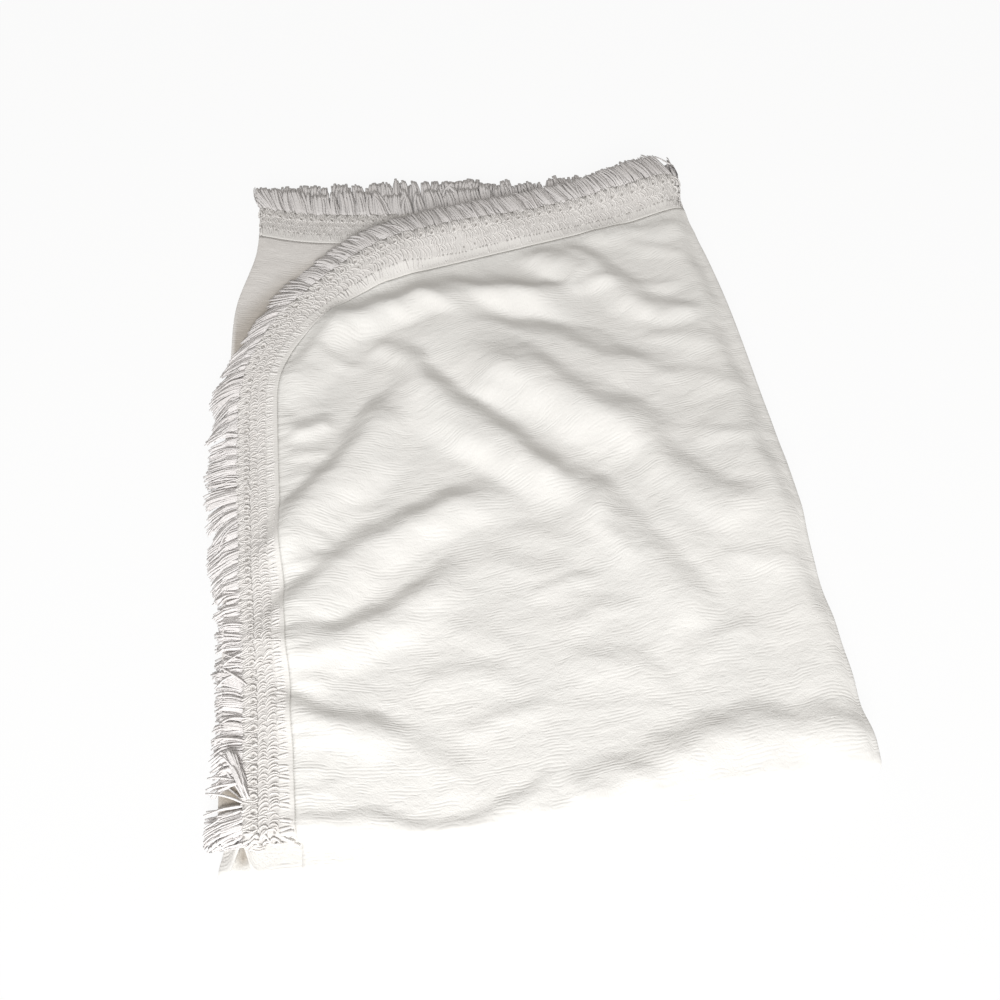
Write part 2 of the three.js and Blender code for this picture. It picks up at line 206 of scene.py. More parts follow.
def curve(table, column, at):
    """Smooth curve through one column of a table, read at places in its first column."""
    keys, values = table[:, 0], table[:, column]
    last = len(keys) - 1
    row = np.arange(last + 1)
    before, after = np.maximum(row - 1, 0), np.minimum(row + 1, last)
    slopes = (values[after] - values[before]) / (keys[after] - keys[before])
    i = np.clip(np.searchsorted(keys, at, side="left") - 1, 0, last - 1)
    span = keys[i + 1] - keys[i]
    share = np.clip((at - keys[i]) / span, 0, 1)
    value = values[i] + (values[i + 1] - values[i]) * share * share * (3 - 2 * share)
    rise = share * (1 - share) * ((1 - share) * slopes[i] - share * slopes[i + 1])
    return value + rise * span


def folds(table, x, y):
    """Height of a table of ridges at places of the packet. No crest runs quite straight."""
    x, y = (x + 0.004 * np.sin(38 * y + 21 * x) + 0.002 * np.sin(97 * y - 55 * x),
            y + 0.004 * np.sin(33 * x - 17 * y) + 0.002 * np.sin(103 * x + 61 * y))
    height = np.zeros_like(x)
    for x0, y0, x1, y1, bow, rise, near, far in table:
        dx, dy = x1 - x0, y1 - y0
        length = math.hypot(dx, dy)
        share = ((x - x0) * dx + (y - y0) * dy) / length**2
        inside = np.clip(share, 0, 1)
        offset = ((y - y0) * dx - (x - x0) * dy) / length
        side = offset - 4 * bow * inside * (1 - inside)
        reach = np.where(side > 0, far, near)
        fall = 0.5 + 0.5 * np.cos(math.pi * np.minimum(np.abs(side) / reach, 1))
        height += rise * fall * smooth(-0.08, 0.22, share) * smooth(1.08, 0.78, share)
    return height


def relief(x, y):
    return folds(RIDGES, x, y) + folds(PUCKERS, x, y)


def foot_edge(s):
    middle = np.clip((s - ACROSS[2]) / MIDDLE_WIDTH, 0, 1)
    under = np.clip((s - ACROSS[4]) / UNDER_WIDTH, 0, None)
    return np.select(
        [s < ACROSS[1], s < ACROSS[2], s < ACROSS[3], s < ACROSS[4]],
        [FOOT_AT_CUT + (FOOT_AT_RIGHT - FOOT_AT_CUT) * s / TOP_WIDTH,
         FOOT_AT_RIGHT,
         FOOT_AT_RIGHT + (FOOT_AT_LEFT - FOOT_AT_RIGHT) * middle**6
         - FOOT_DIP * np.sin(math.pi * middle),
         FOOT_AT_LEFT],
        FOOT_AT_LEFT + (FOOT_UNDER - FOOT_AT_LEFT) * under)


def fold_across(s, y, loft, offset):
    """Place and height in one run, for flat distances across and offsets outwards."""
    cut = np.where(loft < 1, curve(SIDES, LOWER_CUT, y), curve(SIDES, CUT, y))
    right, left = curve(SIDES, RIGHT, y), curve(SIDES, LEFT, y)
    drop = SAG * PITCH
    shoulder = SHOULDER * smooth(0.700, 0.790, y) * loft
    mouth = MOUTH_RISE * smooth(0.008, -0.014, y)

    top_x = np.where(s < 0, cut + DRAWN_IN * s, cut + (right - cut) * s / TOP_WIDTH)
    top_h = HIGH + relief(top_x, y) * loft + offset

    angle = math.pi * np.clip((s - ACROSS[1]) / TURN_WIDTH, 0, 1)
    high, low = HIGH + relief(right, y) * loft, MIDDLE - drop
    radius = (high - low) / 2 + offset
    right_x, right_h = right + radius * np.sin(angle), (high + low) / 2 + radius * np.cos(angle)

    middle_x = right + (left - right) * (s - ACROSS[2]) / MIDDLE_WIDTH
    sag = drop * smooth(right - 0.050, right - 0.006, middle_x)
    lift = (shoulder * smooth(left + 0.060, left + 0.006, middle_x)
            + mouth * smooth(left + MOUTH, left, middle_x))
    middle_h = MIDDLE - sag + lift - offset

    angle = math.pi * np.clip((s - ACROSS[3]) / TURN_WIDTH, 0, 1)
    high = MIDDLE + shoulder + mouth
    radius = (high - LOW) / 2 - offset
    left_x, left_h = left - radius * np.sin(angle), (high + LOW) / 2 + radius * np.cos(angle)

    past = np.maximum(s - WIDTH, 0)
    share = np.minimum((s - ACROSS[4]) / UNDER_WIDTH, 1)
    under_x, under_h = left + (UNDER_EDGE - left) * share + past, LOW + offset

    parts = [s <= ACROSS[1], s < ACROSS[2], s <= ACROSS[3], s < ACROSS[4]]
    return (np.select(parts, [top_x, right_x, middle_x, left_x], under_x),
            np.select(parts, [top_h, right_h, middle_h, left_h], under_h))


def fold(s, u, offset):
    """The folded place of flat points, with an offset out of the cloth's upper face."""
    s, u, offset = (np.array(a, float) for a in np.broadcast_arrays(s, u, offset))
    zero = np.zeros_like(s)
    near_x = fold_across(s, zero, zero, zero)[0]
    near_fold = curve(NEAR_SIDE, FOLD, near_x)
    hem = curve(NEAR_SIDE, HEM, near_x)

    far_angle = math.pi * np.clip((u - ALONG[1]) / FOLD_ARC, 0, 1)
    near_angle = math.pi * np.clip((u - ALONG[3]) / FOLD_ARC, 0, 1)
    share = np.minimum((u - ALONG[4]) / TOP_RUN, 1)
    runs = [u <= ALONG[1], u < ALONG[2], u <= ALONG[3], u < ALONG[4]]
    y = np.select(
        runs,
        [hem + (FAR_FOLD - hem) * u / LOWER_RUN,
         FAR_FOLD + zero,
         FAR_FOLD + (near_fold - FAR_FOLD) * (u - ALONG[2]) / MIDDLE_RUN,
         near_fold],
        near_fold + (foot_edge(s) - near_fold) * share + np.maximum(u - LENGTH, 0))
    loft = np.select(runs, [zero, zero, zero, np.sin(near_angle / 2) ** 2], 1.0)
    x, h = fold_across(s, y, loft, offset)

    far_radius, near_radius = FAR_AXIS - h, NEAR_AXIS - 2 * FAR_AXIS + h
    y = np.select(
        [runs[0], runs[1], runs[2], runs[3]],
        [y, y + far_radius * np.sin(far_angle), y, y - near_radius * np.sin(near_angle)], y)
    z = np.select(
        [runs[0], runs[1], runs[2], runs[3]],
        [h, FAR_AXIS - far_radius * np.cos(far_angle), 2 * FAR_AXIS - h,
         NEAR_AXIS - near_radius * np.cos(near_angle)],
        2 * NEAR_AXIS - 2 * FAR_AXIS + h)
    return np.stack([x, y, z], axis=-1) + ORIGIN


# ---------------------------------------------------------------- the trimmed edge
EDGE = np.cumsum([
    0,
    LENGTH - CORNER - TRIM_START,
    CORNER * math.pi / 2,
    WIDTH - 2 * CORNER,
    CORNER * math.pi / 2,
    LENGTH - CORNER - TRIM_START,
])
EDGE_LENGTH = EDGE[5]


def beside_edge(t, d):
    """Flat point at a distance t along the trimmed edge and d out from it."""
    t, d = np.broadcast_arrays(np.asarray(t, float), np.asarray(d, float))
    first = np.clip((t - EDGE[1]) / CORNER, 0, math.pi / 2)
    second = np.clip((t - EDGE[3]) / CORNER, 0, math.pi / 2)
    reach = CORNER + d
    stretches = [t <= EDGE[1], t < EDGE[2], t <= EDGE[3], t < EDGE[4]]
    s = np.select(
        stretches,
        [-d, CORNER - reach * np.cos(first), CORNER + t - EDGE[2],
         WIDTH - CORNER + reach * np.sin(second)],
        WIDTH + d)
    u = np.select(
        stretches,
        [TRIM_START + t, LENGTH - CORNER + reach * np.sin(first), LENGTH + d,
         LENGTH - CORNER + reach * np.cos(second)],
        LENGTH - CORNER - (t - EDGE[4]))
    return s, u


def along_edge(s, u):
    """The other way: distance along the trimmed edge, and distance in from it."""
    cs = np.clip(s, CORNER, WIDTH - CORNER)
    cu = np.minimum(u, LENGTH - CORNER)
    a, b = s - cs, u - cu
    depth_left, depth_right, depth_foot = s, WIDTH - s, LENGTH - u
    in_corner = (np.abs(a) > 0) & (b > 0)
    corner_depth = CORNER - np.hypot(a, b)
    angle = np.arctan2(b, np.abs(a))
    t_left = np.clip(u - TRIM_START, 0, None)
    t_foot = EDGE[2] + s - CORNER
    t_right = EDGE[4] + LENGTH - CORNER - u
    depth = np.minimum(np.minimum(depth_left, depth_right), depth_foot)
    t = np.select([depth == depth_left, depth == depth_foot], [t_left, t_foot], t_right)
    t = np.where(in_corner & (s < WIDTH / 2), EDGE[1] + CORNER * angle, t)
    t = np.where(in_corner & (s > WIDTH / 2), EDGE[3] + CORNER * (math.pi / 2 - angle), t)
    depth = np.where(in_corner, corner_depth, depth)
    return t, np.where(u < TRIM_START, np.maximum(depth, 0.05), depth)


# ---------------------------------------------------------------- making sheets
def grid_lines(stretches):
    """Places of the grid lines: stretches of (length, steps)."""
    lines = [0.0]
    for length, steps in stretches:
        lines += list(lines[-1] + length * np.arange(1, steps + 1) / steps)
    return np.array(lines)


def points_of(piece):
    co = np.empty(len(piece.data.vertices) * 3)
    piece.data.vertices.foreach_get("co", co)
    return co.reshape(-1, 3)


def move_points(piece, co):
    piece.data.vertices.foreach_set("co", np.ascontiguousarray(co, dtype=np.float32).ravel())
    piece.data.update()


def lay_map(piece, name, across, along):
    """A UV map that holds two lengths in metres for every point."""
    layer = piece.data.uv_layers.new(name=name)
    corner_points = np.empty(len(piece.data.loops), np.int32)
    piece.data.loops.foreach_get("vertex_index", corner_points)
    values = np.stack([across[corner_points], along[corner_points]], axis=1)
    layer.data.foreach_set("uv", values.astype(np.float32).ravel())


def give_value(piece, name, values):
    layer = piece.data.attributes.new(name, "FLOAT", "POINT")
    layer.data.foreach_set("value", np.ascontiguousarray(values, dtype=np.float32))


def flat_grid(name, columns, rows):
    """A grid primitive, with the given place across and along for each of its points."""
    bpy.ops.mesh.primitive_grid_add(
        x_subdivisions=len(columns) - 1, y_subdivisions=len(rows) - 1, size=2, calc_uvs=False)
    piece = bpy.context.active_object
    piece.name = name
    co = points_of(piece)
    i = np.rint((co[:, 0] + 1) / 2 * (len(columns) - 1)).astype(int)
    j = np.rint((co[:, 1] + 1) / 2 * (len(rows) - 1)).astype(int)
    return piece, columns[i], rows[j]


def thicken(piece, thickness):
    wall = piece.modifiers.new("thickness", "SOLIDIFY")
    wall.thickness = thickness
    wall.offset = 0
    wall.use_rim = True
    bpy.context.view_layer.objects.active = piece
    bpy.ops.object.modifier_apply(modifier=wall.name)


def finish_piece(piece, material, slot, *nodes):
    piece.data.materials.clear()
    piece.data.materials.append(material)
    bpy.ops.object.select_all(action="DESELECT")
    piece.select_set(True)
    bpy.context.view_layer.objects.active = piece
    bpy.ops.object.shade_smooth()
    piece.select_set(False)
    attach(piece, "root")
    if nodes:
        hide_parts(*nodes)


# ---------------------------------------------------------------- materials
class Finish:
    """A procedural material, with short ways to add nodes."""

    def __init__(self, name):
        self.material = bpy.data.materials.new(name)
        self.material.use_nodes = True
        self.tree = self.material.node_tree
        self.shader = self.tree.nodes["Principled BSDF"]

    def link(self, source, socket):
        self.tree.links.new(source, socket)

    def add(self, kind, **settings):
        node = self.tree.nodes.new(kind)
        for key, value in settings.items():
            setattr(node, key, value)
        return node

    def uv(self, name):
        return self.add("ShaderNodeUVMap", uv_map=name).outputs["UV"]

    def scaled(self, vector, x, y):
        node = self.add("ShaderNodeVectorMath", operation="MULTIPLY")
        node.inputs[1].default_value = (x, y, 1.0)
        self.link(vector, node.inputs[0])
        return node.outputs[0]

    def noise(self, vector, scale, detail=2.0, roughness=0.5, out="Fac"):
        node = self.add("ShaderNodeTexNoise")
        node.inputs["Scale"].default_value = scale
        node.inputs["Detail"].default_value = detail
        node.inputs["Roughness"].default_value = roughness
        self.link(vector, node.inputs["Vector"])
        return node.outputs[out]

    def cells(self, vector, scale, feature="F1"):
        node = self.add("ShaderNodeTexVoronoi", feature=feature)
        node.inputs["Scale"].default_value = scale
        self.link(vector, node.inputs["Vector"])
        return node.outputs["Distance"]

    def bands(self, vector, direction, scale, distortion=0.0, detail_scale=1.0):
        node = self.add("ShaderNodeTexWave", wave_type="BANDS", bands_direction=direction)
        node.inputs["Scale"].default_value = scale
        node.inputs["Distortion"].default_value = distortion
        node.inputs["Detail"].default_value = 2.0
        node.inputs["Detail Scale"].default_value = detail_scale
        self.link(vector, node.inputs["Vector"])
        return node.outputs["Fac"]

    def math(self, operation, a, b=None):
        node = self.add("ShaderNodeMath", operation=operation)
        for socket, value in zip(node.inputs, (a, b)):
            if value is None:
                continue
            if isinstance(value, (int, float)):
                socket.default_value = value
            else:
                self.link(value, socket)
        return node.outputs[0]

    def step(self, value, low, high, to_low=0.0, to_high=1.0):
        node = self.add("ShaderNodeMapRange", interpolation_type="SMOOTHSTEP")
        node.inputs["From Min"].default_value = low
        node.inputs["From Max"].default_value = high
        node.inputs["To Min"].default_value = to_low
        node.inputs["To Max"].default_value = to_high
        self.link(value, node.inputs["Value"])
        return node.outputs["Result"]

    def mix(self, share, first, second):
        node = self.add("ShaderNodeMix", data_type="RGBA")
        for socket, value in zip((node.inputs[0], *node.inputs[6:8]), (share, first, second)):
            if isinstance(value, tuple):
                socket.default_value = (*value, 1.0)
            else:
                self.link(value, socket)
        return node.outputs[2]

    def bump(self, height, distance, below=None):
        node = self.add("ShaderNodeBump")
        node.inputs["Strength"].default_value = 1.0
        node.inputs["Distance"].default_value = distance
        self.link(height, node.inputs["Height"])
        if below is not None:
            self.link(below, node.inputs["Normal"])
        return node.outputs["Normal"]

    def separate(self, vector):
        node = self.add("ShaderNodeSeparateXYZ")
        self.link(vector, node.inputs[0])
        return node.outputs

    def done(self, colour, normal, roughness=0.9, sheen=0.12):
        self.link(colour, self.shader.inputs["Base Color"])
        self.link(normal, self.shader.inputs["Normal"])
        self.shader.inputs["Roughness"].default_value = roughness
        self.shader.inputs["Specular IOR Level"].default_value = 0.2
        self.shader.inputs["Sheen Weight"].default_value = sheen
        self.shader.inputs["Sheen Roughness"].default_value = 0.5
        return self.material


def wave_scale(pitch):
    """Scale of a band texture that repeats once in a pitch."""
    return 2 * math.pi / (20 * pitch)


def woven_cloth():
    """Matelasse: leaf-like patches of fine ribs between pebbled ground, drawn up by the seam, with
    painted shade in its recesses, along the seam and on the lower layers.
    """
    f = Finish("ivory_matelasse")
    cut = f.uv("cut")
    wander = f.add("ShaderNodeVectorMath", operation="MULTIPLY_ADD")
    f.link(f.noise(cut, 22.0, 2.0, out="Color"), wander.inputs[0])
    wander.inputs[1].default_value = (0.016, 0.012, 0.0)
    f.link(cut, wander.inputs[2])
    wavy = wander.outputs[0]

    patch = f.noise(f.scaled(wavy, 30.0, 62.0), 1.0, 1.5, 0.5)
    ribbed = f.step(patch, 0.49, 0.57)
    leaf = f.cells(f.scaled(wavy, 17.0, 38.0), 1.0, "SMOOTH_F1")
    ribs = f.bands(wavy, "Y", wave_scale(0.0036), 2.2, 0.12)
    pebble = f.cells(f.scaled(cut, 1.0, 1.2), 560.0)
    mottle = f.noise(cut, 340.0, 3.0, 0.6)
    grain = f.noise(cut, 620.0, 2.0, 0.6)

    rib_height = f.math("MULTIPLY", f.math("POWER", ribs, 0.7), f.math("MULTIPLY", ribbed, 0.8))
    plain = f.math("ADD", f.math("MULTIPLY", pebble, 0.7), f.math("MULTIPLY", mottle, 0.9))
    ground = f.math("MULTIPLY", f.math("SUBTRACT", 1.0, ribbed), plain)
    fine = f.math("ADD", rib_height, ground)
    fine = f.math("ADD", fine, f.math("MULTIPLY", grain, 0.5))

    seam = f.uv("seam")
    drawn = f.noise(f.scaled(seam, 95.0, 16.0), 1.0, 2.0, 0.55)
    near_seam = f.step(f.separate(seam)[1], 0.0, 0.045, 1.0, 0.0)
    crumple = f.noise(f.scaled(wavy, 30.0, 52.0), 1.0, 4.0, 0.6)
    loft = f.math("ADD", f.math("MULTIPLY", crumple, 0.9), f.math("MULTIPLY", leaf, -0.35))
    loft = f.math("ADD", loft, f.math("MULTIPLY", f.math("MULTIPLY", drawn, near_seam), 0.9))

    normal = f.bump(loft, 0.0020)
    normal = f.bump(fine, 0.00023, normal)

    tone = f.noise(cut, 9.0, 3.0)
    pale = f.mix(f.step(tone, 0.3, 0.7), (0.885, 0.872, 0.845), (0.865, 0.855, 0.830))
    reverse = f.add("ShaderNodeAttribute", attribute_name="reverse").outputs["Fac"]
    painted_shade = f.add("ShaderNodeAttribute", attribute_name="painted_shade").outputs["Fac"]
    # The reverse panels are coloured darker, partly as their duller face and partly as painted shade
    # on the lower layers.
    pale = f.mix(reverse, pale, (0.80, 0.775, 0.75))
    # Painted shade, dark brown: beside the upper layer's trim, in the fringe's pocket and in the
    # opening of the hem at the near fold.
    pale = f.mix(painted_shade, pale, (0.38, 0.33, 0.27))
    # Painted shade: darker where the fine relief is low, in the weave's recesses.
    colour = f.mix(f.step(fine, 0.0, 0.9, 0.10, 0.0), pale, (0.66, 0.645, 0.61))
    # Stitches along the seam, with their darkness painted as the shade in the seam's groove.
    stitches = f.step(f.bands(seam, "X", wave_scale(0.0030), 0.6, 0.5), 0.2, 0.7, 0.10, 0.46)
    line = f.math("MULTIPLY", f.step(f.separate(seam)[1], 0.0002, 0.0018, 1.0, 0.0), stitches)
    line = f.math("MULTIPLY", line, f.math("SUBTRACT", 1.0, reverse))
    colour = f.mix(line, colour, (0.43, 0.41, 0.35))
    return f.done(colour, normal)


def tape_cloth():
    """Ground of the heading: cross threads and a pale inner edge, with painted shade under the
    braid, in its recesses and in the eyelet holes.
    """
    f = Finish("braid_ground")
    tape = f.uv("tape")
    t, d, _ = f.separate(tape)
    threads = f.bands(tape, "X", wave_scale(REPEAT / 4), 2.5, 0.4)
    grain = f.noise(tape, 500.0, 3.0, 0.6)
    fine = f.math("ADD", f.math("MULTIPLY", threads, 0.5), grain)
    normal = f.bump(fine, 0.0002)

    strip = f.step(d, 0.0155, 0.0200)
    pale = f.mix(f.noise(tape, 60.0), (0.87, 0.855, 0.825), (0.85, 0.83, 0.805))
    # Painted shade: the ground under the braid, beyond the pale inner edge, is darker.
    ground = f.mix(strip, pale, (0.72, 0.70, 0.68))
    # Painted shade in the recesses of the threads.
    colour = f.mix(f.step(fine, 0.1, 1.0, 0.10, 0.0), ground, (0.66, 0.64, 0.61))
    # Painted shade in the eyelet holes: dark round marks on four rows.
    for row, shift in ((EYELETS, 0.0), (ROOT_EYELETS, 0.42), (LOOP_EYES, 0.0), (STRIP_EYES, 0.36)):
        turn = f.math("FRACT", f.math("ADD", f.math("DIVIDE", t, REPEAT), shift + 0.5))
        side = f.math("MULTIPLY", f.math("SUBTRACT", turn, 0.5), REPEAT)
        out = f.math("MULTIPLY", f.math("SUBTRACT", d, row), 0.8)
        square = f.math("ADD", f.math("MULTIPLY", side, side), f.math("MULTIPLY", out, out))
        reach = f.math("SQRT", square)
        colour = f.mix(f.step(reach, 0.0007, 0.0018, 0.70, 0.0), colour, (0.25, 0.23, 0.21))
    return f.done(colour, normal)


def yarn(name, pale, dull):
    """Spun cotton: each strand has a tone of its own and a fine twist, with painted shade in the
    twist's grooves.
    """
    f = Finish(name)
    tone = f.add("ShaderNodeAttribute", attribute_name="tone").outputs["Fac"]
    ply = f.bands(f.scaled(f.uv("UVMap"), 2.0, 30.0), "DIAGONAL", 0.32)
    place = f.add("ShaderNodeTexCoord").outputs["Object"]
    fuzz = f.noise(place, 700.0, 2.0)
    normal = f.bump(f.math("ADD", ply, fuzz), 0.00013)
    colour = f.mix(tone, pale, dull)
    # Painted shade in the grooves of the twist.
    colour = f.mix(f.step(ply, 0.0, 0.5, 0.08, 0.0), colour, (0.62, 0.595, 0.57))
    return f.done(colour, normal, roughness=0.92, sheen=0.15)


# ---------------------------------------------------------------- pieces
def reverse_side(s, u):
    """1 in the middle and under panels of the top run, which show no stitches and are coloured
    darker, partly as their duller face and partly as painted shade.
    """
    return smooth(ACROSS[2], ACROSS[2] + 0.03, s) * smooth(ALONG[4] + 0.01, ALONG[4] + 0.03, u)


def make_panel(material):
    """The woven cloth: a flat rectangle with two round foot corners, folded both ways."""
    columns = grid_lines([
        (CORNER, 40), (TOP_WIDTH - CORNER, 80), (TURN_WIDTH, 8), (MIDDLE_WIDTH - MOUTH, 34),
        (MOUTH, 10), (TURN_WIDTH, 8), (MOUTH, 9), (UNDER_WIDTH - MOUTH - CORNER, 6), (CORNER, 8)])
    rows = grid_lines([
        (TRIM_START, 5), (HEM_BAND, 4), (LOWER_RUN - TRIM_START - HEM_BAND, 18), (FOLD_ARC, 8),
        (MIDDLE_RUN, 20), (FOLD_ARC, 9), (TOP_RUN - CORNER, 118), (CORNER, 40)])
    piece, s, u = flat_grid("woven_panel", columns, rows)
    cs = np.clip(s, CORNER, WIDTH - CORNER)
    cu = np.minimum(u, LENGTH - CORNER)
    a, b = (s - cs) / CORNER, (u - cu) / CORNER
    s = cs + CORNER * a * np.sqrt(1 - b * b / 2)
    u = cu + CORNER * b * np.sqrt(1 - a * a / 2)
    co = fold(s, u, 0.0)
    x, y, _ = (co - ORIGIN).T
    beside_notch = (np.exp(-((x - NOTCH) / NOTCH_HALF) ** 2) * (s < WIDTH)
                    * smooth(NOTCH_FADE, 0.0, u))
    co[:, 1] += NOTCH_DEPTH * beside_notch * (s > ACROSS[2]) * (s < ACROSS[3])
    move_points(piece, co)
    reverse = reverse_side(s, u)
    # Painted shade: in the opening of the hem at the near fold, on the under layer, and in the
    # fringe's pocket on the reverse panel.
    pocket = np.exp(-((x - NOTCH) / POCKET_X_REACH) ** 2 - ((y - POCKET_Y) / POCKET_Y_REACH) ** 2)
    shade = beside_notch * (s > ACROSS[4]) * smooth(0.006, 0.015, u) + reverse * pocket
    lift = np.where((s < ACROSS[1]) & (u > ALONG[4]), points_of(piece)[:, 2] - TOP_LEVEL, 0)
    lay_map(piece, "cut", s, u - 0.8 * lift)
    lay_map(piece, "seam", *along_edge(s, u))
    out = np.hypot(x - SIDES[4, CUT] - CORNER, y - FOOT_AT_CUT + CORNER) - CORNER - TRIM_REACH
    give_value(piece, "reverse", reverse)
    far_half = y > FAR_HALF
    # Painted shade on the second layer beside the upper layer's trim, where that trim's shadow
    # falls.
    painted_shade = PAINTED_SHADE_DEPTH * reverse * smooth(PAINTED_SHADE_FADE, 0.0, out) * (s < ACROSS[3]) * far_half
    give_value(piece, "painted_shade", painted_shade + shade)
    thicken(piece, CLOTH)
    finish_piece(piece, material, "cloth", "panel")
    return piece


def make_tape(material):
    """The ground of the heading, sewn along both sides and the foot."""
    rows = np.linspace(0, EDGE_LENGTH, int(EDGE_LENGTH / 0.0075))
    columns = SEAM_GAP + np.array(
        [0, 0.0015, 0.003, 0.0048, 0.007, 0.017, 0.028, 0.039, 0.050, 0.0597])
    piece, t, d = flat_grid("heading_tape", rows, columns)
    swell = 0.0005 * np.exp(-((d - 0.0033) / 0.0018) ** 2) * shown_face(t)
    move_points(piece, fold(*beside_edge(t, d), swell))
    lay_map(piece, "tape", t, d)
    thicken(piece, CLOTH * 0.8)
    finish_piece(piece, material, "braid", "heading")
    return piece


def row_of_strands(name, count, rings, sides):
    """A tube repeated by an array. Gives the piece, and each point's ring and place across it."""
    bpy.ops.mesh.primitive_cylinder_add(vertices=sides, radius=1, depth=1, end_fill_type="NGON")
    piece = bpy.context.active_object
    piece.name = name
    bpy.ops.object.mode_set(mode="EDIT")
    bpy.ops.mesh.select_all(action="DESELECT")
    bm = bmesh.from_edit_mesh(piece.data)
    for edge in bm.edges:
        edge.select_set(abs(edge.verts[0].co.z - edge.verts[1].co.z) > 0.5)
    bmesh.update_edit_mesh(piece.data)
    bpy.ops.mesh.subdivide(number_cuts=rings - 2)
    bpy.ops.object.mode_set(mode="OBJECT")
    each = len(piece.data.vertices)
    array = piece.modifiers.new("repeat", "ARRAY")
    array.count = count
    array.use_relative_offset = False
    array.use_constant_offset = True
    array.constant_offset_displace = (4, 0, 0)
    bpy.ops.object.modifier_apply(modifier=array.name)
    co = points_of(piece).reshape(count, each, 3)
    ring = np.rint((co[0, :, 2] + 0.5) * (rings - 1)).astype(int)
    return piece, ring, co[0, :, 0], co[0, :, 1]


def lay_strands(piece, ring, up, side, t, d, height, radius, drift=None):
    """Bends every strand to its own line beside the edge, then folds all with the cloth.

    up and side place a point across its strand. drift is a last shift of each ring in space.
    """
    dt, dd = np.gradient(t, axis=1), np.gradient(d, axis=1)
    long = np.maximum(np.hypot(dt, dd), 1e-9)
    side_t, side_d = dd / long, -dt / long
    thick = radius[:, ring]
    at_t = t[:, ring] + side * side_t[:, ring] * thick
    at_d = d[:, ring] + side * side_d[:, ring] * thick
    co = fold(*beside_edge(at_t, at_d), height[:, ring] + up * thick)
    if drift is not None:
        co += drift[:, ring]
    co[..., 2] = np.maximum(co[..., 2], 0.0002)
    move_points(piece, co.reshape(-1, 3))


def on_top(t):
    """1 where the trim lies on top of the packet, and 0 in the hidden layers."""
    s, u = beside_edge(t, np.zeros_like(t))
    return ((s < ACROSS[1] + 0.004) & (u > ALONG[4] - 0.012)).astype(float)


def shown_face(t):
    """1 where the trim shows the cloth's upper face, and -1 where it shows the back."""
    s, _ = beside_edge(t, np.zeros_like(t))
    return 1 - 2 * smooth(ACROSS[2] + 0.03, ACROSS[2] + 0.05, s) * smooth(
        ACROSS[4] + 0.05, ACROSS[4] + 0.03, s)


def make_loops(material, rng):
    """Inner half of the braid: two columns of nested arcs."""
    pitch = REPEAT / 4
    count = int(EDGE_LENGTH / pitch) * 2
    number = np.arange(count)
    column = number % 2
    uneven = rng.normal(0, 1, (count, 6))
    start = (number // 2 + 0.5 * column + 0.15 * uneven[:, 0]) * pitch
    share = np.linspace(0, 1, 8)[None, :]
    piece, ring, up, side = row_of_strands("braid_loops", count, 8, 4)

    spanning = rng.random(count) < 0.04
    middle, width, apex = np.where(column[:, None], OUTER_ARC, INNER_ARC).T
    width = width * (1 + 0.08 * uneven[:, 1]) * np.where(spanning, 1.6, 1)
    middle = np.where(spanning, SPANNING_ARC, middle + 0.0006 * uneven[:, 2])
    apex = apex * (1 + 0.22 * uneven[:, 3])
    turn = math.pi * share
    d = middle[:, None] - width[:, None] / 2 * np.cos(turn) * (0.86 + 0.14 * np.abs(np.cos(turn)))
    t = (start[:, None] + apex[:, None] * (np.sin(turn) ** 0.9 - 0.5)
         + (0.0012 + 0.0013 * uneven[:, 4:5]) * np.cos(turn))
    height = 0.0002 + 0.0009 * np.sin(turn) ** 0.7 + 0.0002 * uneven[:, 5:]
    radius = 0.00100 * (1 + 0.08 * uneven[:, 1:2]) * (1 - 0.3 * np.abs(2 * share - 1) ** 3)
    height = height * shown_face(start)[:, None]
    lay_strands(piece, ring, 0.75 * up, 1.15 * side, t, d, height, radius)
    give_value(piece, "tone", np.repeat(rng.random(count), len(ring)))
    finish_piece(piece, material, "braid")
    return piece


def make_strip(material, rng):
    """Broad flat threads that slant both ways across the inner strip to the seam."""
    pitch = REPEAT / 4
    count = int(EDGE_LENGTH / pitch)
    number = np.arange(count)
    uneven = rng.normal(0, 1, (count, 4))
    start = (number + 0.22 * uneven[:, 0]) * pitch
    slant = np.where(number % 4 < 2, -1.0, 1.0)[:, None]
    share = np.linspace(0, 1, 5)[None, :]
    piece, ring, up, side = row_of_strands("braid_strip", count, 5, 4)
    d = SLANT_END + (SLANT_START + 0.0010 * uneven[:, 1:2] - SLANT_END) * share
    t = start[:, None] + (0.0030 * slant - 0.0012 + 0.0010 * uneven[:, 2:3]) * (share - 0.5)
    height = 0.0003 + 0.0003 * np.sin(math.pi * share) + 0.0001 * uneven[:, 1:2]
    radius = 0.0018 * (1 - 0.2 * share) * (1 + 0.15 * uneven[:, 3:])
    height = height * shown_face(start)[:, None]
    lay_strands(piece, ring, 0.40 * up, 1.2 * side, t, d, height, radius)
    give_value(piece, "tone", np.repeat(0.5 * rng.random(count), len(ring)))
    finish_piece(piece, material, "braid")
    return piece


def gather(t, row, shift, d, reach, strength):
    """Threads part around the eyelets of a row."""
    turn = (t / REPEAT + shift + 0.5) % 1 - 0.5
    close = np.exp(-((d - row) / reach) ** 2)
    push = np.sign(turn) * (0.5 - np.abs(turn)) * strength
    return push * REPEAT * close


